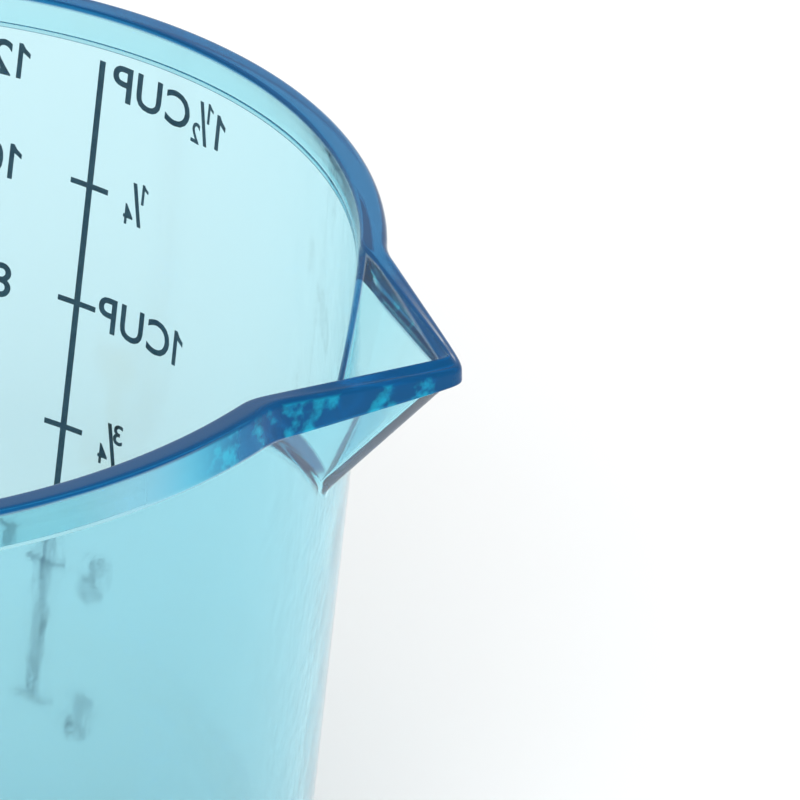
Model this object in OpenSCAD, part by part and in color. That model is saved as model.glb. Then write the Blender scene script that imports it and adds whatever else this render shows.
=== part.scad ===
// Graduated pouring cup of clear tinted plastic. It has a tapered round vessel with a
// raised band round its rim and a V-shaped pouring spout, a loop handle, and
// printed scales in cups, fluid ounces and millilitres.
// Origin: centre of the foot ring on the surface the cup stands on. +X runs to the
// spout, +Z up. Millimetres.

/* [Vessel] */
// Height from the table to the rim
cup_h = 77; // [74:0.5:90]
// Inner radius at the rim
mouth_r = 45.1; // [43:0.1:48]
// Inner radius at the floor
floor_r = 36.8; // [34:0.1:38]
// Thickness of the side wall
wall_t = 1.3; // [1.2:0.1:1.8]
// Thickness of the floor
floor_t = 2; // [1.4:0.1:2.4]
// Height of the foot ring under the floor
foot_h = 1.4; // [0.8:0.1:1.8]
// Width of the foot ring where it stands on the table
foot_w = 2.6; // [2:0.1:4]

/* [Rim band] */
// Height of the raised band
band_h = 3.4; // [3:0.1:5]
// How far the band stands out from the wall
band_proud = 0.8; // [0.4:0.1:1]

/* [Spout] */
// Distance from the cup's axis to the tip
tip_reach = 56; // [54:0.1:58]
// Half of the angle that the mouth of the spout takes from the rim
spout_half_angle = 15.4; // [13:0.1:17]
// How far below the rim the keel meets the wall
keel_drop = 14.5; // [13:0.1:16]
// How far the rim dips from the spout's corners to its tip
tip_dip = 1.4; // [0.5:0.1:2]
// Thickness along X between the spout's hollow and its tip
tip_wall = 1.3; // [1.1:0.1:1.4]
// Half of the angle between the hollow's two facets
hollow_lean = 45.5; // [44:0.5:46]
// Radius where the band turns from the round rim into the spout
corner_r = 6; // [4:0.5:10]

/* [Handle] */
// Height of the upper arm's middle
arm_top_z = 66; // [62:0.5:67]
// Height of the lower arm's middle
arm_low_z = 22; // [20:0.5:28]
// How far the grip stands off the wall
grip_gap = 23; // [21:0.5:26]
// Depth of the grip's section
grip_depth = 8.6; // [8:0.1:10]
// Width of the outer flange
flange_w = 13; // [11:0.5:16]
// Radius of the loop's two outer corners
loop_r = 15; // [13:0.5:16]

/* [Printing] */
// Thickness of the printed ink
ink_t = 0.08; // [0.06:0.01:0.12]
// Height of a printed figure
figure_h = 3; // [2.6:0.1:3.2]
// Width of a printed stroke
stroke_w = 0.42; // [0.35:0.01:0.5]
// Tilt of the cup and ounce print from square
print_tilt = 4.4; // [0:0.1:5]
// Angle round the wall from the spout to the middle of the cup and ounce rule
rule_angle = 78.6; // [70:0.1:90]
// Angle round the wall from the spout to the metric rule, on the other side
metric_angle = -84; // [-95:1:-78]

/* [Hidden] */
$fn = 96;
eps = 0.01;

tint = "#8fd8e4";
ink = "#2b3436";

floor_z = foot_h + floor_t;                           // top of the floor
taper = (mouth_r - floor_r) / (cup_h - floor_z);      // radius gained per mm of height
slant = atan(taper);
function inner_r(z) = floor_r + taper * (z - floor_z);
function outer_r(z) = inner_r(z) + wall_t;
band_z = cup_h - band_h;
band_r = outer_r(cup_h) + band_proud;

// Points of an arc about c, from angle a0 to a1.
function arc(c, r, a0, a1, n = 6) =
    [for (i = [0:n]) let (a = a0 + (a1 - a0) * i / n) c + r * [cos(a), sin(a)]];

// ---- Vessel -------------------------------------------------------------------

heel_r = 1.6;           // outer edge of the base
inside_r = 3;           // inner corner between floor and wall
lip_r = 0.6;            // outer top edge of the rim
lip_in_r = 0.35;        // inner top edge of the rim
band_draft = 0.15;      // how much narrower the band is at its foot
gate_r = 2.2;           // mark of the moulding gate under the floor
gate_h = 0.25;
above = 4;              // how far cutting tools run past the rim

module outer_form() {
    heel_x = outer_r(heel_r) - heel_r / cos(slant);
    foot_in = heel_x - foot_w;
    rotate_extrude()
        polygon(concat(
            [[0, foot_h], [foot_in - foot_h, foot_h], [foot_in, 0]],
            arc([heel_x, heel_r], heel_r, -90, -slant),
            [[outer_r(band_z), band_z], [band_r - band_draft, band_z]],
            arc([band_r - lip_r, cup_h - lip_r], lip_r, 0, 90),
            [[0, cup_h]]
        ));
    translate([0, 0, foot_h - gate_h]) cylinder(r = gate_r, h = gate_h + eps);
}

module inner_form() {
    corner_x = inner_r(floor_z + inside_r) - inside_r / cos(slant);
    rotate_extrude()
        polygon(concat(
            [[0, floor_z]],
            arc([corner_x, floor_z + inside_r], inside_r, -90, -slant),
            [[inner_r(cup_h - lip_in_r), cup_h - lip_in_r], [mouth_r + lip_in_r, cup_h],
             [mouth_r + lip_in_r, cup_h + above], [0, cup_h + above]]
        ));
}

// ---- Spout --------------------------------------------------------------------

corner = band_r * [cos(spout_half_angle), sin(spout_half_angle)];
spout_lean = atan2(corner.y, tip_reach - corner.x);       // half of the V's own angle
across = [sin(spout_lean), cos(spout_lean)];              // square to one side, outwards
along = [-cos(spout_lean), sin(spout_lean)];              // from the tip to the corner
keel_z = cup_h - keel_drop;
keel_x = outer_r(keel_z);
facet_tip = tip_reach - band_proud / sin(spout_lean);     // tip of the facets at band_z
keel_slope = (facet_tip - keel_x) / (band_z - keel_z);    // reach gained per mm of height

// A wedge with a level top, pointing along +X. On height z its keel is at radius x, the
// keel gains slope mm of reach per mm of height, and its sides spread by lean.
module wedge(x, z, slope, lean, top) {
    tip = x + slope * (top - z);
    side = tip * tan(lean);
    polyhedron(
        points = [[0, 0, z - x / slope], [tip, 0, top], [0, side, top], [0, -side, top]],
        faces = [[1, 3, 2], [0, 2, 3], [0, 1, 2], [0, 3, 1]]
    );
}

// Outline of the band: the round rim, the V, and the turns between them.
module band_outline() {
    reach = across.x * tip_reach + corner_r;
    back = sqrt(pow(band_r + corner_r, 2) - reach * reach);
    turn = reach * across - back * along;                 // centre of one turn
    meet = turn - corner_r * across;                      // where it leaves the V's side
    difference() {
        union() {
            circle(r = band_r - eps);
            polygon([[tip_reach, 0], meet, turn, [0, 0], [turn.x, -turn.y],
                     [meet.x, -meet.y]]);
        }
        // A touch larger than the turn, so that it crosses the outline and doesn't graze it
        for (s = [-1, 1]) translate([turn.x, s * turn.y]) circle(r = corner_r + 3 * eps);
    }
}

// The hollow's two facets run straight up to the rim, so the rim is thinnest at the tip.
keel_t = 1.4;                                             // height between the two keels
hollow_top = cup_h - tip_dip;
hollow_tip = tip_reach - tip_wall;
hollow_keel_z = keel_z + keel_t;
hollow_slope = (hollow_tip - inner_r(hollow_keel_z)) / (hollow_top - hollow_keel_z);
spout_back = hollow_tip * pow(sin(hollow_lean), 2);       // where the V lies nearest the axis

module cup_body() {
    color(tint)
        difference() {
            union() {
                outer_form();
                at_spout() {
                    wedge(keel_x, keel_z, keel_slope, spout_lean, band_z + eps);
                    translate([0, 0, band_z])
                        linear_extrude(height = band_h) band_outline();
                }
            }
            inner_form();
            at_spout()
                wedge(hollow_tip, hollow_top, hollow_slope, hollow_lean, cup_h + above);
            tip_dip_cut();
        }
}

// Keeps the part of a form that lies in front of the wall on the spout's side.
module at_spout() {
    half_w = 30;
    low = keel_z - 10;
    intersection() {
        union() children();
        translate([spout_back, -half_w, low])
            cube([tip_reach, 2 * half_w, cup_h + above - low]);
    }
}

// The rim dips in a plane from the corners to the tip.
module tip_dip_cut() {
    run = tip_reach - corner.x;
    half_w = 25;
    translate([corner.x, 0, cup_h])
        rotate([0, atan(tip_dip / run), 0])
            translate([0, -half_w, 0]) cube([2 * run, 2 * half_w, above]);
}

// ---- Handle -------------------------------------------------------------------
// The loop is drawn in the X-Z plane as strips that follow one path: out along the
// upper arm, round a corner, down the grip beside the wall, round a corner and back.

pad_t = 1;              // root pads on the wall
pad_h = 13;
pad_w = 16;
inner_flange_w = 9;
flange_t = 2.2;
web_t = 2.4;
grip_x = -(outer_r(arm_top_z) + grip_gap + grip_depth);   // outer face at the upper arm
arm_start = -(floor_r - 2);                               // arms start inside the wall

// Corner centres of the loop's outer face
top_out = arm_top_z + grip_depth / 2;
low_out = arm_low_z - grip_depth / 2;
function grip_face(z) = grip_x + taper * (arm_top_z - z); // the grip leans as the wall does
top_c = [grip_face(top_out - loop_r) + loop_r / cos(slant), top_out - loop_r];
low_c = [grip_face(low_out + loop_r) + loop_r / cos(slant), low_out + loop_r];

// Outline of the loop's face that lies d inside its outer face, closed along the wall.
function loop_face(d) =
    concat(
        [[arm_start, top_out - d]],
        arc(top_c, loop_r - d, 90, 180 + slant, 12),
        arc(low_c, loop_r - d, 180 + slant, 270, 12),
        [[arm_start, low_out + d]]
    );

module strip(d0, d1, width) {
    rotate([90, 0, 0])
        linear_extrude(height = width, center = true)
            difference() {
                polygon(loop_face(d0));
                polygon(concat([[arm_start + 1, top_out - d1]], loop_face(d1),
                               [[arm_start + 1, low_out + d1]]));
            }
}

module root_pad(z) {
    intersection() {
        rotate_extrude()
            polygon([[outer_r(z - pad_h / 2), z - pad_h / 2],
                     [outer_r(z - pad_h / 2) + pad_t, z - pad_h / 2],
                     [outer_r(z + pad_h / 2) + pad_t, z + pad_h / 2],
                     [outer_r(z + pad_h / 2), z + pad_h / 2]]);
        rotate([0, -90, 0]) translate([z, 0, 0]) pad_face();
    }
}

// Rounded face of a pad, drawn from circles and two rectangles, and run out past the wall.
module pad_face() {
    r = 3;
    linear_extrude(height = 2 * floor_r)
        union() {
            square([pad_h, pad_w - 2 * r], center = true);
            square([pad_h - 2 * r, pad_w], center = true);
            for (x = [-1, 1], y = [-1, 1])
                translate([x * (pad_h / 2 - r), y * (pad_w / 2 - r)]) circle(r = r);
        }
}

module handle() {
    color(tint)
        difference() {
            union() {
                strip(0, flange_t, flange_w);
                strip(flange_t - eps, grip_depth - flange_t + eps, web_t);
                strip(grip_depth - flange_t, grip_depth, inner_flange_w);
                root_pad(arm_top_z);
                root_pad(arm_low_z);
            }
            rotate_extrude()
                polygon([[0, 0], [outer_r(0), 0], [outer_r(cup_h), cup_h], [0, cup_h]]);
        }
}

// ---- Printing -----------------------------------------------------------------

cup_ml = 236.588;
// Height at which the cup holds a volume, from the volume of its cone
function level(ml) =
    floor_z + (pow(3 * taper * ml * 1000 / PI + pow(floor_r, 3), 1 / 3) - floor_r) / taper;

// Puts flat artwork on the wall: s mm round it from the rule, h mm up. The artwork
// turns by tilt about the height mid.
module on_wall(angle, s, h, tilt = 0, mid = 0, reach = 2) {
    s2 = s * cos(tilt) - (h - mid) * sin(tilt);
    h2 = mid + (h - mid) * cos(tilt) + s * sin(tilt);
    rotate([0, 0, angle + s2 / outer_r(h2) * 180 / PI])
        translate([outer_r(h2) - reach, 0, h2])
            rotate([90, 0, 90])
                rotate([0, 0, tilt])
                    linear_extrude(height = 2 * reach) children();
}

// Keeps only the skin of ink that lies on the wall.
module ink_skin() {
    low = 8;            // below all print
    color(ink)
        intersection() {
            union() children();
            rotate_extrude()
                polygon([[outer_r(low), low], [outer_r(low) + ink_t, low],
                         [outer_r(band_z) + ink_t, band_z], [outer_r(band_z), band_z]]);
        }
}

// One straight stroke from p to q, in mm.
module dash(p, q, w = stroke_w) {
    d = q - p;
    translate(p) rotate(atan2(d.y, d.x)) translate([0, -w / 2]) square([norm(d), w]);
}

// One round stroke about c from angle a0 to a1, less than a full turn.
module bow(c, r, a0, a1, w = stroke_w) {
    far = 2 * r;
    step = (a1 - a0) / 4;
    translate(c)
        intersection() {
            difference() {
                circle(r = r + w / 2);
                circle(r = r - w / 2);
            }
            polygon(concat([[0, 0]], [for (i = [0:4]) far * [cos(a0 + i * step),
                                                            sin(a0 + i * step)]]));
        }
}

// A full ring about c.
module ring(c, r, w = stroke_w) {
    translate(c) difference() { circle(r = r + w / 2); circle(r = r - w / 2); }
}

// Figures and letters are drawn in a box of height k, with strokes w wide.
function glyph_w(g, k) =
    g == "1" ? 0.36 * k : g == "m" ? 0.82 * k : g == "L" ? 0.5 * k : 0.6 * k;

module glyph(g, k = figure_h, w = stroke_w) {
    r = 0.3 * k - w / 2;              // radius of a wide bow
    x0 = w / 2;
    x1 = 0.6 * k - w / 2;
    xm = 0.3 * k;
    y0 = w / 2;
    y1 = k - w / 2;
    ym = k / 2;
    if (g == "1") {
        dash([0.24 * k, 0], [0.24 * k, k], w);
        dash([0, 0.72 * k], [0.24 * k, 0.93 * k], w);
    }
    if (g == "0" || g == "O") {
        bow([xm, y1 - r], r, 0, 180, w);
        bow([xm, y0 + r], r, 180, 360, w);
        for (x = [x0, x1]) dash([x, y0 + r], [x, y1 - r], w);
    }
    if (g == "2") {
        bow([xm, y1 - r], r, -30, 165, w);
        dash([xm + r * cos(-30), y1 - r + r * sin(-30)], [x0, y0], w);
        dash([0, y0], [0.6 * k, y0], w);
    }
    if (g == "3") {
        q = (k - w) / 4;
        bow([xm, ym + q], q, -90, 150, w);
        bow([xm, ym - q], q, -150, 90, w);
    }
    if (g == "4") {
        dash([0.42 * k, 0], [0.42 * k, k], w);
        dash([x0, 0.28 * k], [0.42 * k, y1], w);
        dash([0, 0.28 * k], [0.6 * k, 0.28 * k], w);
    }
    if (g == "5") {
        q = 0.3 * k - w / 2;
        dash([0.08 * k, y1], [0.56 * k, y1], w);
        dash([x0 + 0.03 * k, y0 + 1.2 * q], [x0 + 0.03 * k, k], w);
        bow([xm, y0 + q], q, -150, 130, w);
    }
    if (g == "6") {
        q = 0.3 * k - w / 2;
        ring([xm, y0 + q], q, w);
        dash([x0, y0 + q], [0.34 * k, k], w);
    }
    if (g == "8") {
        q = (k - w) / 4;
        ring([xm, ym + q], q, w);
        ring([xm, ym - q], q, w);
    }
    if (g == "C") {
        bow([xm, y1 - r], r, 20, 180, w);
        bow([xm, y0 + r], r, 180, 340, w);
        dash([x0, y0 + r], [x0, y1 - r], w);
    }
    if (g == "U") {
        bow([xm, y0 + r], r, 180, 360, w);
        for (x = [x0, x1]) dash([x, y0 + r], [x, k], w);
    }
    if (g == "P") {
        q = (k - w) / 4;
        dash([x0, 0], [x0, k], w);
        for (y = [ym, y1]) dash([x0, y], [0.32 * k, y], w);
        bow([0.32 * k, ym + q], q, -90, 90, w);
    }
    if (g == "Z") {
        for (y = [y0, y1]) dash([0, y], [0.6 * k, y], w);
        dash([x0, y0], [x1, y1], w);
    }
    if (g == "m") {
        q = 0.2 * k - w / 4;
        dash([x0, 0], [x0, 0.62 * k], w);
        for (i = [0, 1]) {
            bow([x0 + (2 * i + 1) * q, 0.62 * k - q], q, 0, 180, w);
            dash([x0 + 2 * (i + 1) * q, 0], [x0 + 2 * (i + 1) * q, 0.62 * k - q], w);
        }
    }
    if (g == "L") {
        dash([x0, 0], [x0, k], w);
        dash([x0, y0], [0.5 * k, y0], w);
    }
}

gap = 0.16;             // space between two figures, as a share of their height

// Where figure i of a word starts
function start(word, i, k) = i == 0 ? 0 :
    start(word, i - 1, k) + glyph_w(word[i - 1], k) + gap * k;
function word_w(word, k = figure_h) = start(word, len(word), k) - gap * k;

// A fraction such as 3/4: two small figures either side of a slanted stroke.
small = 0.56;           // size of a fraction's figures
frac_w = 3.1;
module fraction(top, bottom) {
    k = figure_h * small;
    w = stroke_w * 0.8;
    translate([0, figure_h - k + 0.35]) glyph(top, k, w);
    translate([frac_w - 0.6 * k, -0.35]) glyph(bottom, k, w);
    dash([0.55, -0.3], [frac_w - 0.6, figure_h + 0.3], w);
}

// Fluid ounces, and the fraction of a cup that is printed beside them
cup_marks = [[2, "1", "4"], [4, "1", "2"], [6, "3", "4"], [10, "1", "4"]];
function ounce_level(oz) = level(oz * cup_ml / 8);
rule_top = ounce_level(12);
rule_low = ounce_level(2);
rule_mid = (rule_top + rule_low) / 2;
rule_over = 1.1;        // how far the rule runs on above its top level
rule_w = 0.6;
tick_w = 0.45;
tick_half = 1.8;
figures_gap = 0.8;      // from a tick to its figures
top_gap = 0.9;          // from the rule to the words at its top
word_gap = 0.5;         // between the parts of a word with a fraction
ounces_at = 6.6;        // from the rule to the ounce figures
rule_reach = 6;         // lets a straight rule pass right through the tapered wall

module print_at(s, h, reach = 2) {
    on_wall(rule_angle, s, h, print_tilt, rule_mid, reach) children();
}

module measure_rule() {
    ink_skin() {
        print_at(0, rule_mid, rule_reach)
            translate([-rule_w / 2, rule_low - rule_mid])
                square([rule_w, rule_top + rule_over - rule_low]);
        for (oz = [2:2:10])
            print_at(0, ounce_level(oz)) square([2 * tick_half, tick_w], center = true);
    }
}

// A word from s mm round the wall from the rule, its foot at h.
module print_word(word, s, h) {
    for (i = [0:len(word) - 1])
        print_at(s + start(word, i, figure_h), h) glyph(word[i]);
}

module cup_figures() {
    top_h = rule_top + rule_over - figure_h;
    cup_s = -top_gap - word_w("CUP");
    half_s = cup_s - word_gap - frac_w;
    ink_skin() {
        for (mark = cup_marks)
            print_at(-tick_half - figures_gap - frac_w, ounce_level(mark[0]) - figure_h / 2)
                fraction(mark[1], mark[2]);
        print_word("1CUP", -tick_half - word_w("1CUP"), ounce_level(8) - figure_h / 2);
        print_word("CUP", cup_s, top_h);
        print_at(half_s, top_h) fraction("1", "2");
        print_word("1", half_s - word_gap - glyph_w("1", figure_h), top_h);
    }
}

module ounce_figures() {
    ink_skin() {
        for (oz = [2:2:10])
            print_word(str(oz), ounces_at, ounce_level(oz) - figure_h / 2);
        print_word("12OZ", ounces_at, rule_top - figure_h);
    }
}

metric_top = level(350);
metric_low = level(50);

module metric_rule() {
    ink_skin() {
        on_wall(metric_angle, 0, (metric_top + metric_low) / 2, reach = rule_reach)
            translate([-rule_w / 2, -(metric_top - metric_low) / 2])
                square([rule_w, metric_top - metric_low]);
        for (ml = [50:50:300])
            on_wall(metric_angle, 0, level(ml)) square([2 * tick_half, tick_w], center = true);
    }
}

module metric_word(word, s, h) {
    for (i = [0:len(word) - 1])
        on_wall(metric_angle, s + start(word, i, figure_h), h) glyph(word[i]);
}

module metric_figures() {
    ink_skin() {
        for (ml = [50:50:300])
            metric_word(str(ml), tick_half + figures_gap, level(ml) - figure_h / 2);
        metric_word("350mL", top_gap, metric_top - figure_h);
    }
}

cup_body();
handle();
measure_rule();
cup_figures();
ounce_figures();
metric_rule();
metric_figures();
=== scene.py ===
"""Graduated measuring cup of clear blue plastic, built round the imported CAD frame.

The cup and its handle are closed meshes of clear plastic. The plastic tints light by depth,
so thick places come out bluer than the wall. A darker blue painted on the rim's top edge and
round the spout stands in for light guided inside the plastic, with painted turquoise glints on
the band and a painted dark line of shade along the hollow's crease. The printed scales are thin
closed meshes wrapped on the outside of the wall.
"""

import math
from functools import partial

import bmesh
import bpy
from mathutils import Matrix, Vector


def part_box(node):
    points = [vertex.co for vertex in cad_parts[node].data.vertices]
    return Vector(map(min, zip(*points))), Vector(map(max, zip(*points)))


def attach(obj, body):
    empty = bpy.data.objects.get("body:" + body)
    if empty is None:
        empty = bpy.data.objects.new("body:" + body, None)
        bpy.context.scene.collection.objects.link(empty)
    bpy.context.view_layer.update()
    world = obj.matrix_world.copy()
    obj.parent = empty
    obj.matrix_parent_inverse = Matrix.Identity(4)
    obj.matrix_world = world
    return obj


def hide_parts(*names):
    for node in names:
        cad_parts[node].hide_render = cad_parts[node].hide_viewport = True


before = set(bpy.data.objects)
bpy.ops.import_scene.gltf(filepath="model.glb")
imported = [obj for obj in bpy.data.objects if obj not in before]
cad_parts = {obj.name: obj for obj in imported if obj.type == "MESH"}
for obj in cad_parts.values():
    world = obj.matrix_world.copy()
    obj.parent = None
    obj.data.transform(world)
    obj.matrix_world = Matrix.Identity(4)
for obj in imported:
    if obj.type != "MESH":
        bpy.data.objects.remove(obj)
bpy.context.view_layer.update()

MM = 0.001
scene = bpy.context.scene

# ---- Sizes of the vessel, in millimetres ------------------------------------------------

cup_lo, cup_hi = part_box("cup_body")
CUP_H = cup_hi[2] / MM
TIP_REACH = cup_hi[0] / MM          # point of the spout on the CAD cup
BAND_R = -cup_lo[0] / MM            # outside of the rim band
BAND_PROUD = 0.8
BAND_H = 3.4
BAND_Z = CUP_H - BAND_H
WALL_T = 1.3
MOUTH_R = BAND_R - BAND_PROUD - WALL_T
FLOOR_R = 36.8
FLOOR_T = 2.0
FOOT_H = 1.4
FLOOR_Z = FOOT_H + FLOOR_T
TAPER = (MOUTH_R - FLOOR_R) / (CUP_H - FLOOR_Z)
SLANT = math.atan(TAPER)

SPOUT_HALF = math.radians(15.4)     # half of the mouth of the spout, seen from the axis
CORNER_X = BAND_R * math.cos(SPOUT_HALF)
CORNER_Y = BAND_R * math.sin(SPOUT_HALF)
LEAN = math.atan2(CORNER_Y, TIP_REACH - CORNER_X)
KEEL_Z = CUP_H - 14.5
HOLLOW_LEAN = math.radians(45.5)    # half of the angle between the hollow's two facets
HOLLOW_SLOPE = 0.947                # reach that the hollow gains per mm of height
TIP_WALL = 1.3                      # thickness along X between the hollow and the tip
TIP_DIP = 1.4                       # dip of the rim's top from the corners to the tip
TIP_DIP_OUT = 1.9                   # dip of its outer edge, which is rounded further there
TIP_DIP_IN = 1.2                    # dip of its inner edge
KEEN = 0.35                         # reach that the tips lose where they are rounded


def inner_r(z):
    return FLOOR_R + TAPER * (z - FLOOR_Z)


def outer_r(z):
    return inner_r(z) + WALL_T


FACET_TIP = TIP_REACH - BAND_PROUD / math.sin(LEAN)
KEEL_SLOPE = (FACET_TIP - outer_r(KEEL_Z)) / (BAND_Z - KEEL_Z)
HOLLOW_TIP = TIP_REACH - TIP_WALL - HOLLOW_SLOPE * (BAND_H - TIP_DIP)
HOLLOW_KEEL_Z = BAND_Z - (HOLLOW_TIP - inner_r(BAND_Z)) / (HOLLOW_SLOPE - TAPER)


# Widths over which the V's sides run into the round wall
BLEND_OUT, BLEND_IN, BLEND_BAND, BLEND_DIP = 0.3, 0.5, 0.6, 0.12
# Rounding of the V's keel, of the hollow's keel and of the band's tip, in radians
SOFT_KEEL, SOFT_HOLLOW, SOFT_TIP = 0.008, 0.006, 0.013
BELOW_KEEL, BELOW_HOLLOW = 2.0, 3.0     # how far below each keel the wall is round again


def smax(a, b, w):
    """The larger of a and b, blended over a width w where they meet."""
    h = max(w - abs(a - b), 0.0) / w
    return max(a, b) + h * h * w / 4


def v_line(theta, tip, lean, soft):
    """Distance from the axis to a V with its point at tip on +X, rounded by soft radians."""
    t = min(math.hypot(theta, soft), math.pi / 2 - lean)
    return tip * math.sin(lean) / math.sin(lean + t)


def outer_wall(theta, z):
    wall = outer_r(z)
    if z < KEEL_Z - BELOW_KEEL:
        return wall
    tip = FACET_TIP - KEEL_SLOPE * (BAND_Z - z)
    return smax(wall, v_line(theta, tip + KEEN, LEAN, SOFT_KEEL), BLEND_OUT)


def inner_wall(theta, z):
    wall = inner_r(z)
    if z < HOLLOW_KEEL_Z - BELOW_HOLLOW:
        return wall
    tip = HOLLOW_TIP + HOLLOW_SLOPE * (z - BAND_Z)
    return smax(wall, v_line(theta, tip, HOLLOW_LEAN, SOFT_HOLLOW), BLEND_IN)


def band_wall(theta):
    return smax(BAND_R, v_line(theta, TIP_REACH + KEEN, LEAN, SOFT_TIP), BLEND_BAND)


def dip(theta, depth):
    """How far the rim dips at this angle: nothing at the corners, depth at the tip."""
    run = (band_wall(theta) * math.cos(theta) - CORNER_X) / (TIP_REACH - CORNER_X)
    return depth * smax(0.0, run, BLEND_DIP)


# ---- Mesh helpers -----------------------------------------------------------------------

def add_object(name, verts, faces, smooth=True):
    mesh = bpy.data.meshes.new(name)
    mesh.from_pydata([Vector(v) * MM for v in verts], [], faces)
    mesh.validate()
    mesh.polygons.foreach_set("use_smooth", [smooth] * len(mesh.polygons))
    mesh.update()
    obj = bpy.data.objects.new(name, mesh)
    scene.collection.objects.link(obj)
    return obj


def arc_points(cr, cz, r, a0, a1, n):
    """Points of an arc in the (radius, height) plane, angles in degrees."""
    out = []
    for i in range(n + 1):
        a = math.radians(a0 + (a1 - a0) * i / n)
        out.append((cr + r * math.cos(a), cz + r * math.sin(a)))
    return out


# ---- Vessel -----------------------------------------------------------------------------

def angles():
    """Angles round the cup: close together at the spout, wider elsewhere."""
    fine, coarse, half = 0.25, 1.5, 24.0
    out = [math.radians(-half + fine * i) for i in range(int(2 * half / fine))]
    rest = 360 - 2 * half
    steps = int(rest / coarse)
    out += [math.radians(half + rest * i / steps) for i in range(steps)]
    return [a if a <= math.pi else a - 2 * math.pi for a in out]


HEEL = 1.6               # radius of the base's outer edge
FOOT_W = 2.6             # width of the foot ring
GATE_R, GATE_H = 2.2, 0.25   # mark of the moulding gate under the floor
INSIDE_R = 3.0           # radius of the corner between floor and wall
LIP_OUT, LIP_IN = 0.6, 0.35  # rounding of the rim's outer and inner top edges
BAND_EDGE = 0.12         # rounding of the band's lower edge


def outside_rows():
    """Rows of the underside and the foot, as fixed (radius, height) points."""
    heel = HEEL
    heel_x = outer_r(heel) - heel / math.cos(SLANT)
    foot_in = heel_x - FOOT_W
    gate_r, gate_z = GATE_R, FOOT_H - GATE_H
    rows = [(0.9, gate_z), (gate_r - 0.1, gate_z), (gate_r, gate_z + 0.05)]
    rows += [(gate_r + 0.1, FOOT_H), (gate_r + 0.4, FOOT_H), (15.0, FOOT_H), (28.0, FOOT_H)]
    rows += [(foot_in - FOOT_H - 0.4, FOOT_H), (foot_in - FOOT_H, FOOT_H)]
    rows += [(foot_in - 0.1, 0.1), (foot_in + 0.1, 0.0), (foot_in + 0.4, 0.0)]
    rows += [(heel_x - 0.3, 0.0)]
    rows += arc_points(heel_x, heel, heel, -90, -math.degrees(SLANT), 8)
    return rows


def floor_rows():
    """Rows of the inner corner and the floor, from the wall to the middle."""
    r = INSIDE_R
    cx = inner_r(FLOOR_Z + r) - r / math.cos(SLANT)
    rows = list(reversed(arc_points(cx, FLOOR_Z + r, r, -90, -math.degrees(SLANT), 9)))
    return rows + [(cx - 0.4, FLOOR_Z), (26.0, FLOOR_Z), (14.0, FLOOR_Z), (4.0, FLOOR_Z)]


def steps(a, b, size):
    n = max(1, math.ceil(abs(b - a) / size))
    return [a + (b - a) * i / n for i in range(n + 1)]


def rim_rows(theta):
    """Points over the rim at one angle: band's foot, face, top, inner edge and inner face."""
    wall, band = outer_wall(theta, BAND_Z), band_wall(theta)
    z_out, z_in = CUP_H - dip(theta, TIP_DIP_OUT), CUP_H - dip(theta, TIP_DIP_IN)
    r_in = inner_wall(theta, z_in)
    lip = band - r_in
    round_out, round_in = min(LIP_OUT, 0.35 * lip), min(LIP_IN, 0.2 * lip)
    out = [(wall + BAND_EDGE, BAND_Z), ((wall + band) / 2, BAND_Z), (band - BAND_EDGE, BAND_Z)]
    out += [(band - 0.3 * BAND_EDGE, BAND_Z + 0.3 * BAND_EDGE), (band, BAND_Z + BAND_EDGE)]
    face_low, face_top = BAND_Z + BAND_EDGE + 0.1, z_out - LIP_OUT
    out += [(band, face_low + (face_top - face_low) * i / 3) for i in range(3)]
    for i in range(11):
        a = math.radians(90 * i / 10)
        out.append((band - round_out * (1 - math.cos(a)), face_top + LIP_OUT * math.sin(a)))
    flat_out, flat_in = band - round_out, r_in + round_in
    for i in (1, 2, 3):
        t = i / 4
        out.append((flat_out + (flat_in - flat_out) * t, z_out + (z_in - z_out) * t))
    for i in range(6):
        a = math.radians(90 * i / 5)
        out.append((flat_in - round_in * math.sin(a), z_in - round_in * (1 - math.cos(a))))
    face_in = z_in - round_in
    heights = [face_in + (BAND_Z - face_in) * i / 8 for i in range(1, 8)]
    return out + [(inner_wall(theta, z), z) for z in heights]


def build_vessel():
    thetas = angles()
    under, floor = outside_rows(), floor_rows()
    low = steps(under[-1][1] + 0.15, KEEL_Z - 1.0, 3.0)
    high = steps(KEEL_Z - 1.0, BAND_Z - 0.12, 0.3)[1:]
    inner_high = steps(BAND_Z, HOLLOW_KEEL_Z - 1.5, 0.3)
    inner_low = steps(HOLLOW_KEEL_Z - 1.5, floor[0][1] + 0.15, 3.0)[1:]
    columns = []
    for theta in thetas:
        col = list(under)
        col += [(outer_wall(theta, z), z) for z in low + high]
        col += [(outer_wall(theta, BAND_Z), BAND_Z)]
        col += rim_rows(theta)
        col += [(inner_wall(theta, z), z) for z in inner_high + inner_low]
        col += floor
        columns.append(col)
    rows = len(columns[0])
    verts = [(0, 0, under[0][1])]
    for j in range(rows):
        for theta, col in zip(thetas, columns):
            r, z = col[j]
            verts.append((r * math.cos(theta), r * math.sin(theta), z))
    verts.append((0, 0, FLOOR_Z))
    n = len(thetas)
    faces = [(0, 1 + (i + 1) % n, 1 + i) for i in range(n)]
    for j in range(rows - 1):
        a, b = 1 + j * n, 1 + (j + 1) * n
        for i in range(n):
            k = (i + 1) % n
            faces.append((a + i, a + k, b + k, b + i))
    last, top = 1 + (rows - 1) * n, len(verts) - 1
    faces += [(last + i, last + (i + 1) % n, top) for i in range(n)]
    return add_object("cup_shell", verts, faces)


# ---- Handle -----------------------------------------------------------------------------

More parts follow.
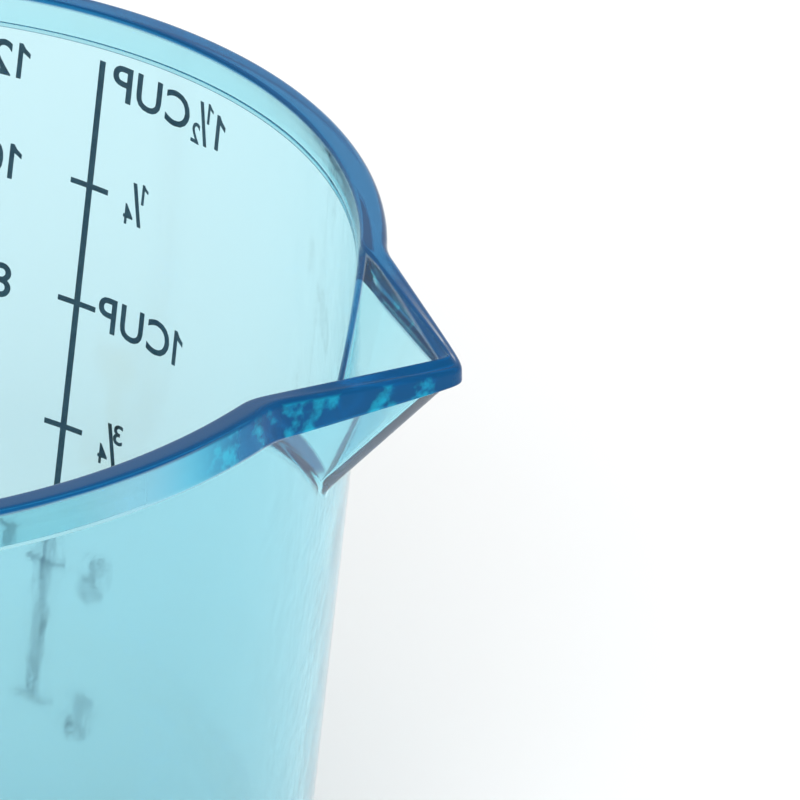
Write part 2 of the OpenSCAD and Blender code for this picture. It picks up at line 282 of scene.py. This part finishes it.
ARM_TOP, ARM_LOW = 66.0, 22.0
GRIP_GAP, GRIP_D = 23.0, 8.6
FLANGE_W, INNER_W, FLANGE_T, WEB_T = 13.0, 9.0, 2.2, 2.4
LOOP_R = 15.0
ROOT_L, ROOT_N = 3.2, 6             # length of the flared root of an arm, and its stations
ROOT_WIDER, ROOT_DEEPER = 0.22, 0.34    # how much the section grows at the wall
SUNK = 0.4                          # gap that the flare bridges to reach the wall
CORNER_N, GRIP_N = 14, 6            # stations round a corner and down the grip
ARM_STEP = 4.0
TOP_OUT, LOW_OUT = ARM_TOP + GRIP_D / 2, ARM_LOW - GRIP_D / 2


def grip_face(z):
    return -(outer_r(ARM_TOP) + GRIP_GAP + GRIP_D) + TAPER * (ARM_TOP - z)


def beam_section():
    """Outline of the handle's section: (y, depth from the outer face), corners rounded."""
    w, v, t = FLANGE_W / 2, INNER_W / 2, WEB_T / 2
    d1, d2, d3 = FLANGE_T, GRIP_D - FLANGE_T, GRIP_D
    half = [(w, 0, 0.8), (w, d1, 0.7), (t, d1, 0.8), (t, d2, 0.8), (v, d2, 0.7), (v, d3, 0.8)]
    corners = half + [(-y, d, r) for y, d, r in reversed(half)]
    out = []
    for i, (y, d, r) in enumerate(corners):
        p = Vector((y, d))
        a = Vector(corners[i - 1][:2]) - p
        b = Vector(corners[(i + 1) % len(corners)][:2]) - p
        a.normalize()
        b.normalize()
        centre = p + (a + b) * r
        turn = 4
        for k in range(turn + 1):
            s = math.radians(90 * k / turn)
            out.append(centre - b * r * math.cos(s) - a * r * math.sin(s))
    return out


def loop_stations():
    """Stations along the handle: outer point (x, z), direction to the inner face, and flare."""
    top_z, low_z = TOP_OUT - LOOP_R, LOW_OUT + LOOP_R
    top_x = grip_face(top_z) + LOOP_R / math.cos(SLANT)
    low_x = grip_face(low_z) + LOOP_R / math.cos(SLANT)
    out = []
    wall_x = -outer_r(ARM_TOP) - SUNK
    flared = [wall_x - ROOT_L * i / ROOT_N for i in range(ROOT_N + 1)]
    for x in flared + steps(wall_x - ROOT_L, top_x, ARM_STEP)[1:]:
        out.append((x, TOP_OUT, 0.0, -1.0, max(0.0, 1 - (wall_x - x) / ROOT_L)))
    for i in range(1, CORNER_N + 1):
        a = math.radians(90) + (math.radians(90) + SLANT) * i / CORNER_N
        c, s = math.cos(a), math.sin(a)
        out.append((top_x + LOOP_R * c, top_z + LOOP_R * s, -c, -s, 0.0))
    a0 = math.pi + SLANT
    x0, z0 = out[-1][0], out[-1][1]
    x1, z1 = low_x + LOOP_R * math.cos(a0), low_z + LOOP_R * math.sin(a0)
    for i in range(1, GRIP_N):
        t = i / GRIP_N
        out.append((x0 + (x1 - x0) * t, z0 + (z1 - z0) * t, -math.cos(a0), -math.sin(a0), 0.0))
    for i in range(CORNER_N + 1):
        a = a0 + (math.radians(270) - a0) * i / CORNER_N
        c, s = math.cos(a), math.sin(a)
        out.append((low_x + LOOP_R * c, low_z + LOOP_R * s, -c, -s, 0.0))
    wall_x = -outer_r(ARM_LOW) - SUNK
    flared = [wall_x - ROOT_L * i / ROOT_N for i in reversed(range(ROOT_N + 1))]
    for x in steps(low_x, wall_x - ROOT_L, ARM_STEP)[1:-1] + flared:
        out.append((x, LOW_OUT, 0.0, 1.0, max(0.0, 1 - (wall_x - x) / ROOT_L)))
    return out


def build_handle():
    section = beam_section()
    mid = GRIP_D / 2
    verts, n = [], len(section)
    stations = loop_stations()
    for i, (x, z, nx, nz, flare) in enumerate(stations):
        grow = 1 + ROOT_WIDER * flare ** 2
        fatten = 1 + ROOT_DEEPER * flare ** 2
        for y, d in section:
            depth = mid + (d - mid) * fatten
            py, px, pz = y * grow, x + nx * depth, z + nz * depth
            if i in (0, len(stations) - 1):
                px = 0.05 - math.sqrt(outer_r(pz) ** 2 - py ** 2)
            elif flare > 0:
                skin = -math.sqrt(outer_r(pz) ** 2 - py ** 2)
                straight = -outer_r(z + nz * mid)
                px += (skin - straight) * flare ** 2
            verts.append((px, py, pz))
    faces = [tuple(range(n))]
    for j in range(len(stations) - 1):
        a, b = j * n, (j + 1) * n
        for i in range(n):
            k = (i + 1) % n
            faces.append((a + i, b + i, b + k, a + k))
    last = (len(stations) - 1) * n
    faces.append(tuple(reversed(range(last, last + n))))
    obj = add_object("handle_loop", verts, faces)
    bm = bmesh.new()
    bm.from_mesh(obj.data)
    bmesh.ops.triangulate(bm, faces=[f for f in bm.faces if len(f.verts) > 4])
    bmesh.ops.recalc_face_normals(bm, faces=bm.faces)
    bm.to_mesh(obj.data)
    bm.free()
    return obj


# ---- Printing ---------------------------------------------------------------------------

CUP_ML = 236.588
INK_T = 0.05
INK_SUNK = 0.02
RULE_W, TICK_W, TICK_HALF = 0.55, 0.45, 1.8
TILT = math.radians(4.4)
RULE_ANGLE = math.radians(78.6)
METRIC_ANGLE = math.radians(-84)


def level(ml):
    """Height at which the cup holds ml millilitres."""
    cube = 3 * TAPER * ml * 1000 / math.pi + FLOOR_R ** 3
    return FLOOR_Z + (cube ** (1 / 3) - FLOOR_R) / TAPER


def ounces(oz):
    return level(oz * CUP_ML / 8)


RULE_TOP, RULE_LOW = ounces(12), ounces(2)
RULE_MID = (RULE_TOP + RULE_LOW) / 2
RULE_OVER = 1.1                     # how far the rule runs on above its top level


class Print:
    """Flat artwork in millimetres, gathered as meshes and then wrapped on the wall."""

    def __init__(self, name, angle, tilt=0.0, mid=0.0):
        self.name, self.angle, self.tilt, self.mid = name, angle, tilt, mid
        self.bm = bmesh.new()

    def add(self, bm, s, h):
        """Adds artwork drawn about its own origin at s mm from the rule and h mm up."""
        new = [self.bm.verts.new((v.co.x + s, v.co.y + h, v.co.z)) for v in bm.verts]
        bm.verts.index_update()
        for f in bm.faces:
            self.bm.faces.new([new[v.index] for v in f.verts])
        bm.free()

    def wrap(self):
        bm = self.bm
        xs = [v.co.x for v in bm.verts]
        ys = [v.co.y for v in bm.verts]
        slice_mesh(bm, 0, min(xs), max(xs), 0.6)
        slice_mesh(bm, 1, min(ys), max(ys), 6.0)
        for v in bm.verts:
            s, h, t = v.co
            dh = h - self.mid
            s2 = s * math.cos(self.tilt) - dh * math.sin(self.tilt)
            z = self.mid + dh * math.cos(self.tilt) + s * math.sin(self.tilt)
            theta = self.angle + s2 / outer_r(z)
            r = outer_r(z) - INK_SUNK + t * INK_T
            v.co = Vector((r * math.cos(theta), r * math.sin(theta), z)) * MM
        bmesh.ops.recalc_face_normals(bm, faces=bm.faces)
        mesh = bpy.data.meshes.new(self.name)
        bm.to_mesh(mesh)
        bm.free()
        obj = bpy.data.objects.new(self.name, mesh)
        scene.collection.objects.link(obj)
        return obj


def slice_mesh(bm, axis, low, high, size):
    """Cuts the artwork into strips, so that it can bend round the wall."""
    normal = [0, 0, 0]
    normal[axis] = 1
    at = math.ceil(low / size) * size
    while at < high:
        point = [0, 0, 0]
        point[axis] = at
        geom = bm.verts[:] + bm.edges[:] + bm.faces[:]
        bmesh.ops.bisect_plane(bm, geom=geom, plane_co=point, plane_no=normal, dist=1e-5)
        at += size


def one_mesh(height):
    """A figure 1 with a flag, which the built-in font draws without one."""
    stroke = 0.14 * height
    w, flag = 0.36 * height, 0.76 * height
    outline = [(w - stroke, 0), (w, 0), (w, height), (w - 0.8 * stroke, height)]
    outline += [(w - 1.5 * stroke, 0.87 * height), (0, flag), (0, flag - 0.95 * stroke)]
    outline += [(w - stroke, flag)]
    bm = bmesh.new()
    raise_outline(bm, outline)
    return bm


def raise_outline(bm, outline):
    """Closes an outline to a face and raises it to a slab one unit thick."""
    face = bm.faces.new([bm.verts.new((x, y, 0)) for x, y in outline])
    top = bmesh.ops.extrude_face_region(bm, geom=[face])
    for v in top["geom"]:
        if isinstance(v, bmesh.types.BMVert):
            v.co.z = 1.0
    bmesh.ops.triangulate(bm, faces=[f for f in bm.faces if len(f.verts) > 4])


def font_mesh(letter):
    """One letter of the built-in font as a slab, its strokes a little thickened."""
    curve = bpy.data.curves.new("letter", "FONT")
    curve.body = letter
    curve.size = 10.0
    curve.resolution_u = 4
    curve.extrude = 0.5
    curve.offset = 0.12
    text = bpy.data.objects.new("letter", curve)
    scene.collection.objects.link(text)
    graph = bpy.context.evaluated_depsgraph_get()
    mesh = bpy.data.meshes.new_from_object(text.evaluated_get(graph))
    bm = bmesh.new()
    bm.from_mesh(mesh)
    bpy.data.objects.remove(text)
    bpy.data.meshes.remove(mesh)
    bmesh.ops.remove_doubles(bm, verts=bm.verts, dist=1e-4)
    for v in bm.verts:
        v.co.z += 0.5
    return bm


def glyph(letter, height, width=None):
    """A letter height mm tall, its lower left corner at the origin, and how wide it is."""
    bm = one_mesh(height) if letter == "1" else font_mesh(letter)
    x0, y0 = min(v.co.x for v in bm.verts), min(v.co.y for v in bm.verts)
    x1, y1 = max(v.co.x for v in bm.verts), max(v.co.y for v in bm.verts)
    sy = height / (y1 - y0)
    sx = width / (x1 - x0) if width else sy
    for v in bm.verts:
        v.co.x, v.co.y = (v.co.x - x0) * sx, (v.co.y - y0) * sy
    return bm, (x1 - x0) * sx


def word(art, text, s, h, width=None):
    """A word from s mm rightwards with its foot at h mm, squeezed to a width if one is given."""
    made = [glyph(c, FIG_H * (0.7 if c == "m" else 1.0)) for c in text]
    gap = 0.17 * FIG_H
    total = sum(w for _, w in made) + gap * (len(made) - 1)
    k = width / total if width else 1.0
    for bm, w in made:
        for v in bm.verts:
            v.co.x *= k
        art.add(bm, s, h)
        s += (w + gap) * k


FIG_H = 3.0          # height of the printed figures
FRAC_W, FRAC_H = 2.3, 3.9


def fraction(art, top, bottom, right, mid):
    """A fraction whose right edge and middle lie at right, mid."""
    k = 1.75
    left, low = right - FRAC_W, mid - FRAC_H / 2
    digit_w = 0.95
    art.add(glyph(top, k, None if top == "1" else digit_w)[0], left, low + FRAC_H - k)
    art.add(glyph("/", FRAC_H * 0.92, 1.15)[0], left + 0.45, low + 0.15)
    art.add(glyph(bottom, k, digit_w)[0], right - digit_w, low)


def cup_figures():
    art = Print("cup_scale_figures", RULE_ANGLE, TILT, RULE_MID)
    for oz, top, bottom in ((2, "1", "4"), (4, "1", "2"), (6, "3", "4"), (10, "1", "4")):
        fraction(art, top, bottom, -TICK_HALF - 1.7, ounces(oz))
    whole, cup = 9.0, 8.2
    word(art, "1CUP", -TICK_HALF - 0.3 - whole, ounces(8) - FIG_H / 2, whole)
    right, foot = -1.1, RULE_TOP + RULE_OVER + 0.25 - FIG_H
    word(art, "CUP", right - cup, foot, cup)
    fraction(art, "1", "2", right - cup - 0.35, foot + FIG_H / 2)
    word(art, "1", right - cup - 0.35 - FRAC_W - 0.5 - 1.08, foot)
    return art.wrap()


def ounce_figures():
    art = Print("ounce_scale_figures", RULE_ANGLE, TILT, RULE_MID)
    for oz in (2, 4, 6, 8):
        word(art, str(oz), 6.1, ounces(oz) - FIG_H / 2)
    word(art, "10", 6.4, ounces(10) - FIG_H / 2)
    word(art, "12OZ", 6.6, RULE_TOP + 0.4 - FIG_H)
    return art.wrap()


def measure_rule():
    art = Print("cup_scale_rule", RULE_ANGLE, TILT, RULE_MID)
    joined_rule(art, RULE_LOW, RULE_TOP + RULE_OVER, [ounces(oz) for oz in (2, 4, 6, 8, 10)])
    return art.wrap()


def joined_rule(art, low, top, marks):
    """A rule and its ticks as one closed outline, from the lowest tick to the top."""
    w, t, half = RULE_W / 2, TICK_W / 2, TICK_HALF
    right = []
    for m in sorted(marks):
        lo, hi = max(low, m - t), m + t
        right += [(w, lo), (half, lo), (half, hi), (w, hi)]
    if min(marks) - t <= low:
        right = right[1:]
    right.append((w, top))
    left = [(-x, y) for x, y in reversed(right)]
    bm = bmesh.new()
    raise_outline(bm, right + left)
    art.add(bm, 0, 0)


def metric_rule():
    art = Print("metric_scale_rule", METRIC_ANGLE)
    joined_rule(art, level(50), level(350), [level(ml) for ml in range(50, 350, 50)])
    return art.wrap()


def metric_figures():
    art = Print("metric_scale_figures", METRIC_ANGLE)
    for ml in range(50, 350, 50):
        word(art, str(ml), TICK_HALF + 0.8, level(ml) - FIG_H / 2)
    word(art, "350mL", 0.95, level(350) - FIG_H)
    return art.wrap()


# ---- Materials --------------------------------------------------------------------------

def new_material(name):
    mat = bpy.data.materials.new(name)
    mat.use_nodes = True
    nodes, links = mat.node_tree.nodes, mat.node_tree.links
    return mat, nodes, links, nodes["Principled BSDF"], nodes["Material Output"]


def noise(nodes, links, coords, scale, detail=2.0, stretch=(1, 1, 1)):
    mapping = nodes.new("ShaderNodeMapping")
    mapping.inputs["Scale"].default_value = stretch
    tex = nodes.new("ShaderNodeTexNoise")
    tex.inputs["Scale"].default_value = scale
    tex.inputs["Detail"].default_value = detail
    links.new(coords.outputs["Object"], mapping.inputs["Vector"])
    links.new(mapping.outputs["Vector"], tex.inputs["Vector"])
    return tex.outputs["Fac"]


def bump(nodes, links, height, distance, strength, normal=None):
    node = nodes.new("ShaderNodeBump")
    node.inputs["Distance"].default_value = distance
    node.inputs["Strength"].default_value = strength
    links.new(height, node.inputs["Height"])
    if normal:
        links.new(normal, node.inputs["Normal"])
    return node.outputs["Normal"]


MIX_FACTOR, MIX_A, MIX_B, MIX_RESULT = 0, 6, 7, 2    # a Mix node's colour sockets
# PALE is the plastic's own colour; the turquoise and the deep blue are painted light: painted
# glints and light guided inside the rim
PALE, PAINTED_TURQUOISE, PAINTED_DEEP_BLUE = (0.92, 0.98, 1, 1), (0.01, 0.42, 0.62, 1), (0.004, 0.095, 0.28, 1)

# Scales of the noises, in turns per metre
GLINT_SCALE, WAVE_SCALE, GRAIN_SCALE, SCRATCH_SCALE, SPECK_SCALE = 420, 230, 900, 160, 1500


def calculate(nodes, links, operation, a, b=0.0):
    """A Math node on one or two values, each a socket or a number."""
    node = nodes.new("ShaderNodeMath")
    node.operation = operation
    for socket, value in zip(node.inputs, (a, b)):
        if isinstance(value, (int, float)):
            socket.default_value = value
        else:
            links.new(value, socket)
    return node.outputs["Value"]


def mix_colour(nodes, links, factor, a, b):
    """A mix of two colours, each a socket or four numbers."""
    node = nodes.new("ShaderNodeMix")
    node.data_type = "RGBA"
    links.new(factor, node.inputs[MIX_FACTOR])
    for place, value in ((MIX_A, a), (MIX_B, b)):
        if isinstance(value, tuple):
            node.inputs[place].default_value = value
        else:
            links.new(value, node.inputs[place])
    return node.outputs[MIX_RESULT]


def ramp(nodes, links, value, low, high, start=0.0, end=1.0, kind="SMOOTHSTEP"):
    """A value that goes from start to end while its input goes from low to high."""
    node = nodes.new("ShaderNodeMapRange")
    node.interpolation_type = kind
    for name, number in (("From Min", low), ("From Max", high), ("To Min", start), ("To Max", end)):
        node.inputs[name].default_value = number
    links.new(value, node.inputs["Value"])
    return node.outputs["Result"]


def gathered_colour(nodes, links, coords):
    """Painted light, as two values from 0 to 1: how far a blue painted in for light guided inside
    the plastic covers the surface, and how dark that blue is. It is painted all along the top edge
    of the rim, on the outside of the band where it runs out to the spout, and as painted shade
    along the hollow's edges. On the band its darkness is patchy, with painted turquoise glints."""
    kinds = ("ADD", "SUBTRACT", "MULTIPLY", "MAXIMUM", "ABSOLUTE", "SQRT")
    plus, minus, times, larger, size, root = [partial(calculate, nodes, links, k) for k in kinds]
    rise = partial(ramp, nodes, links)
    split = nodes.new("ShaderNodeSeparateXYZ")
    links.new(coords.outputs["Object"], split.inputs["Vector"])
    x, y, z = split.outputs["X"], size(split.outputs["Y"]), split.outputs["Z"]
    radius = root(plus(times(x, x), times(y, y)))

    def inside_v(tip, lean):
        """Depth of a point behind the sides of a V with its tip on +X."""
        return minus(times(minus(tip, x), math.sin(lean)), times(y, math.cos(lean)))

    # Height as it would be without the rim's dip
    dip_slope = TIP_DIP_OUT / (TIP_REACH - CORNER_X)
    level = plus(z, times(larger(minus(x, CORNER_X * MM), 0.0), dip_slope))
    # Painted light: blue painted along the rim's top edge for light guided round the rim
    top = rise(level, (CUP_H - 0.6) * MM, (CUP_H - 0.25) * MM)

    # The band's outside is the circle of the rim joined with the V
    near_spout = rise(x, (CORNER_X - 12) * MM, (CORNER_X - 1) * MM)
    on_band = rise(level, (BAND_Z - 0.1) * MM, (BAND_Z + 0.3) * MM)
    under_skin = larger(inside_v(TIP_REACH * MM, LEAN), minus(BAND_R * MM, radius))
    outside = rise(under_skin, 0.45 * MM, 0.75 * MM, 1.0, 0.0)
    # Painted light: blue painted on the outside of the band near the spout
    spout = times(times(near_spout, on_band), outside)
    # Painted glints: where this noise is low, the painted blue turns to painted turquoise glints
    between_glints = rise(noise(nodes, links, coords, GLINT_SCALE, 7.0), 0.35, 0.48)
    between_glints = times(between_glints, rise(x, (CORNER_X - 4) * MM, (CORNER_X - 1) * MM))

    # Painted shade: a dark blue line along the crease, which lies where the round inner wall meets
    # the plane of the hollow's facet
    past_wall = minus(radius, plus(times(z, TAPER), (FLOOR_R - TAPER * FLOOR_Z) * MM))
    hollow_x = plus(times(z, HOLLOW_SLOPE), (HOLLOW_TIP - HOLLOW_SLOPE * BAND_Z) * MM)
    crease = times(rise(past_wall, 0.5 * MM, 0.8 * MM, 1.0, 0.0),
                   rise(inside_v(hollow_x, HOLLOW_LEAN), -1.6 * MM, -1.0 * MM))
    crease = times(crease, rise(x, (CORNER_X - 4) * MM, (CORNER_X - 3) * MM))
    crease = times(crease, rise(z, (HOLLOW_KEEL_Z + 0.5) * MM, (HOLLOW_KEEL_Z + 3) * MM))

    # Where painted light covers the surface, and how dark its painted blue is
    painted_amount = larger(larger(top, spout), crease)
    depth = larger(larger(top, between_glints), crease)
    return painted_amount, depth


def clear_plastic():
    """Clear blue moulded plastic: it tints by depth, is gently wavy and finely scratched.
    It also carries painted light: blue painted in for light guided along the rim and round the
    spout, painted turquoise glints, and painted shade along the hollow's crease.
    """
    mat, nodes, links, bsdf, out = new_material("clear_blue_plastic_painted_light")
    bsdf.inputs["IOR"].default_value = 1.53
    bsdf.inputs["Specular Tint"].default_value = (0.1, 0.52, 1.0, 1)
    coords = nodes.new("ShaderNodeTexCoord")
    # Base colour and transmission carry painted light from this mask: blue for guided light,
    # turquoise glints, and shade along the crease
    gathered, deep = gathered_colour(nodes, links, coords)
    blue = mix_colour(nodes, links, deep, PAINTED_TURQUOISE, PAINTED_DEEP_BLUE)
    colour = mix_colour(nodes, links, gathered, PALE, blue)
    links.new(colour, bsdf.inputs["Base Color"])
    links.new(ramp(nodes, links, gathered, 0, 1, 0.98, 0.5), bsdf.inputs["Transmission Weight"])
    waves = noise(nodes, links, coords, WAVE_SCALE, 2.0, (1, 1, 0.7))
    normal = bump(nodes, links, waves, 0.0004, 0.06)
    grain = noise(nodes, links, coords, GRAIN_SCALE, 2.0)
    normal = bump(nodes, links, grain, 0.00003, 0.12, normal)
    scratches = noise(nodes, links, coords, SCRATCH_SCALE, 1.0, (9, 9, 0.35))
    normal = bump(nodes, links, scratches, 0.00004, 0.04, normal)
    links.new(normal, bsdf.inputs["Normal"])
    rough = ramp(nodes, links, scratches, 0.35, 0.7, 0.05, 0.08, "LINEAR")
    links.new(rough, bsdf.inputs["Roughness"])
    tint = nodes.new("ShaderNodeVolumeAbsorption")
    tint.inputs["Color"].default_value = (0.02, 0.775, 0.88, 1)
    tint.inputs["Density"].default_value = 290
    links.new(tint.outputs["Volume"], out.inputs["Volume"])
    return mat


def print_ink():
    """Screen-printed ink: near black, matt, a little uneven in strength."""
    mat, nodes, links, bsdf, _ = new_material("screen_print_ink")
    coords = nodes.new("ShaderNodeTexCoord")
    speck = noise(nodes, links, coords, SPECK_SCALE, 3.0)
    tones = nodes.new("ShaderNodeValToRGB")
    tones.color_ramp.elements[0].position = 0.3
    tones.color_ramp.elements[0].color = (0.03, 0.042, 0.046, 1)
    tones.color_ramp.elements[1].position = 0.75
    tones.color_ramp.elements[1].color = (0.07, 0.09, 0.096, 1)
    links.new(speck, tones.inputs["Fac"])
    links.new(tones.outputs["Color"], bsdf.inputs["Base Color"])
    bsdf.inputs["Roughness"].default_value = 0.6
    links.new(bump(nodes, links, speck, 0.00001, 0.5), bsdf.inputs["Normal"])
    return mat


def floor_material():
    mat, _, _, bsdf, _ = new_material("pale_floor")
    bsdf.inputs["Base Color"].default_value = (0.93, 0.93, 0.93, 1)
    bsdf.inputs["Roughness"].default_value = 0.9
    return mat


# ---- Build the object -------------------------------------------------------------------

plastic, ink = clear_plastic(), print_ink()
PIECES = [
    (build_vessel(), "cup_body", plastic, "clear_plastic"),
    (build_handle(), "handle", plastic, "clear_plastic"),
    (measure_rule(), "measure_rule", ink, "print_ink"),
    (cup_figures(), "cup_figures", ink, "print_ink"),
    (ounce_figures(), "ounce_figures", ink, "print_ink"),
    (metric_rule(), "metric_rule", ink, "print_ink"),
    (metric_figures(), "metric_figures", ink, "print_ink"),
]
for piece, node, material, slot in PIECES:
    piece.data.materials.append(material)
    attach(piece, "root")
    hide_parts(node)

# ---- Floor, light and camera ------------------------------------------------------------

floor_mesh = bpy.data.meshes.new("floor")
FLOOR_SIZE = 6.0
corners = [(x * FLOOR_SIZE, y * FLOOR_SIZE, 0) for x, y in ((-1, -1), (1, -1), (1, 1), (-1, 1))]
floor_mesh.from_pydata(corners, [], [(0, 1, 2, 3)])
floor_mesh.materials.append(floor_material())
floor = bpy.data.objects.new("floor", floor_mesh)
scene.collection.objects.link(floor)

world = bpy.data.worlds.new("studio")
world.use_nodes = True
world.node_tree.nodes["Background"].inputs["Color"].default_value = (1, 1, 1, 1)
world.node_tree.nodes["Background"].inputs["Strength"].default_value = 0.92
scene.world = world


def area_light(name, place, target, size, power):
    data = bpy.data.lights.new(name, "AREA")
    data.shape = "RECTANGLE"
    data.size, data.size_y = size
    data.energy = power
    obj = bpy.data.objects.new(name, data)
    obj.location = place
    obj.rotation_euler = (Vector(target) - Vector(place)).to_track_quat("-Z", "Y").to_euler()
    scene.collection.objects.link(obj)


middle = (0, 0, CUP_H * MM / 2)
area_light("key", (0.30, -1.15, 0.95), middle, (0.7, 0.7), 12)

camera_data = bpy.data.cameras.new("camera")
camera_data.sensor_width = 36
camera_data.lens = 633.19
camera_data.clip_end = 20
camera = bpy.data.objects.new("camera", camera_data)
camera.location = (0.35793, -0.88736, 0.58063)
right = Vector((0.9471, 0.3207, -0.0124))
up = Vector((-0.1426, 0.4551, 0.8789))
back = right.cross(up)
matrix = camera.matrix_world.to_3x3()
matrix.col[0], matrix.col[1], matrix.col[2] = right, up, back
camera.rotation_euler = matrix.to_euler()
scene.collection.objects.link(camera)
scene.camera = camera

scene.view_settings.view_transform = "Standard"
scene.cycles.max_bounces = 64
scene.cycles.transmission_bounces = 64
scene.cycles.glossy_bounces = 64
scene.cycles.sample_clamp_indirect = 6.0
